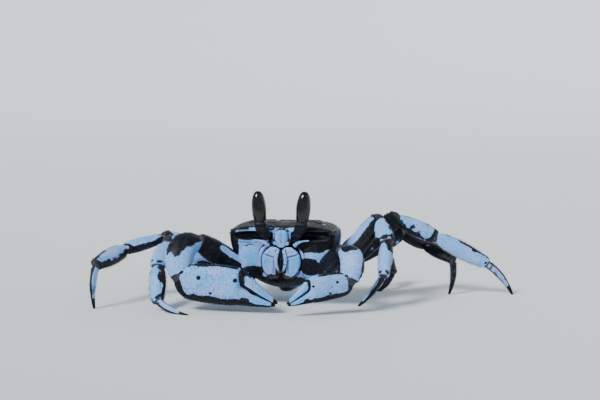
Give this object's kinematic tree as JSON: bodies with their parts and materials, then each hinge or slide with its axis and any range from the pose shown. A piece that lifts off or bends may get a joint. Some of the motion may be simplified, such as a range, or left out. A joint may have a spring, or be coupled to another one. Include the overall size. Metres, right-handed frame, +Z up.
{
  "type": "ghost crab",
  "caption": "Life-size ghost crab standing on its toes, eyes raised, with one large and one small claw folded in front of its mouth.",
  "frame": {"origin": "on the floor, under the middle of the whole model's bounding box", "axes": "+Z up, the crab faces -Y, and its left side is +X"},
  "size_m": [0.1932, 0.121, 0.0536],
  "materials": {
    "back": "black shell with pale blue dots and a ragged pale patch at the rear, finely granular, satin",
    "underside": "pale blue shell with black blotches, smooth to finely granular, satin",
    "limb": "pale blue shell with black blotches, joints and lower edges, satin",
    "claw": "pale blue, granular, with black margins and blotches near the joints, satin",
    "toe": "pale at the root to black at the tip, ridged, satin",
    "cornea": "glossy black",
    "bristle": "fine bristles, dark brown at the root and paler at the tip",
    "membrane": "dark wrinkled joint skin"
  },
  "bodies": {
    "root": {"carapace": "back", "sternum": "underside", "abdomen": "underside", "maxilliped_left": "underside", "maxilliped_right": "underside", "eyestalk_left": "limb", "eyestalk_right": "limb", "eye_left": "cornea", "eye_right": "cornea", "antenna_left": "limb", "antenna_right": "limb", "claw_left_merus": "claw", "claw_left_carpus": "claw", "claw_left_palm": "claw", "claw_left_finger": "claw", "claw_right_merus": "claw", "claw_right_carpus": "claw", "claw_right_palm": "claw", "claw_right_finger": "claw", "leg1_left_base": "limb", "leg1_left_merus": "limb", "leg1_left_carpus": "limb", "leg1_left_propodus": "limb", "leg1_left_dactyl": "toe", "leg2_left_base": "limb", "leg2_left_merus": "limb", "leg2_left_carpus": "limb", "leg2_left_propodus": "limb", "leg2_left_dactyl": "toe", "leg3_left_base": "limb", "leg3_left_merus": "limb", "leg3_left_carpus": "limb", "leg3_left_propodus": "limb", "leg3_left_dactyl": "toe", "leg4_left_base": "limb", "leg4_left_merus": "limb", "leg4_left_carpus": "limb", "leg4_left_propodus": "limb", "leg4_left_dactyl": "toe", "leg1_right_base": "limb", "leg1_right_merus": "limb", "leg1_right_carpus": "limb", "leg1_right_propodus": "limb", "leg1_right_dactyl": "toe", "leg2_right_base": "limb", "leg2_right_merus": "limb", "leg2_right_carpus": "limb", "leg2_right_propodus": "limb", "leg2_right_dactyl": "toe", "leg3_right_base": "limb", "leg3_right_merus": "limb", "leg3_right_carpus": "limb", "leg3_right_propodus": "limb", "leg3_right_dactyl": "toe", "leg4_right_base": "limb", "leg4_right_merus": "limb", "leg4_right_carpus": "limb", "leg4_right_propodus": "limb", "leg4_right_dactyl": "toe"}
  },
  "joints": []
}
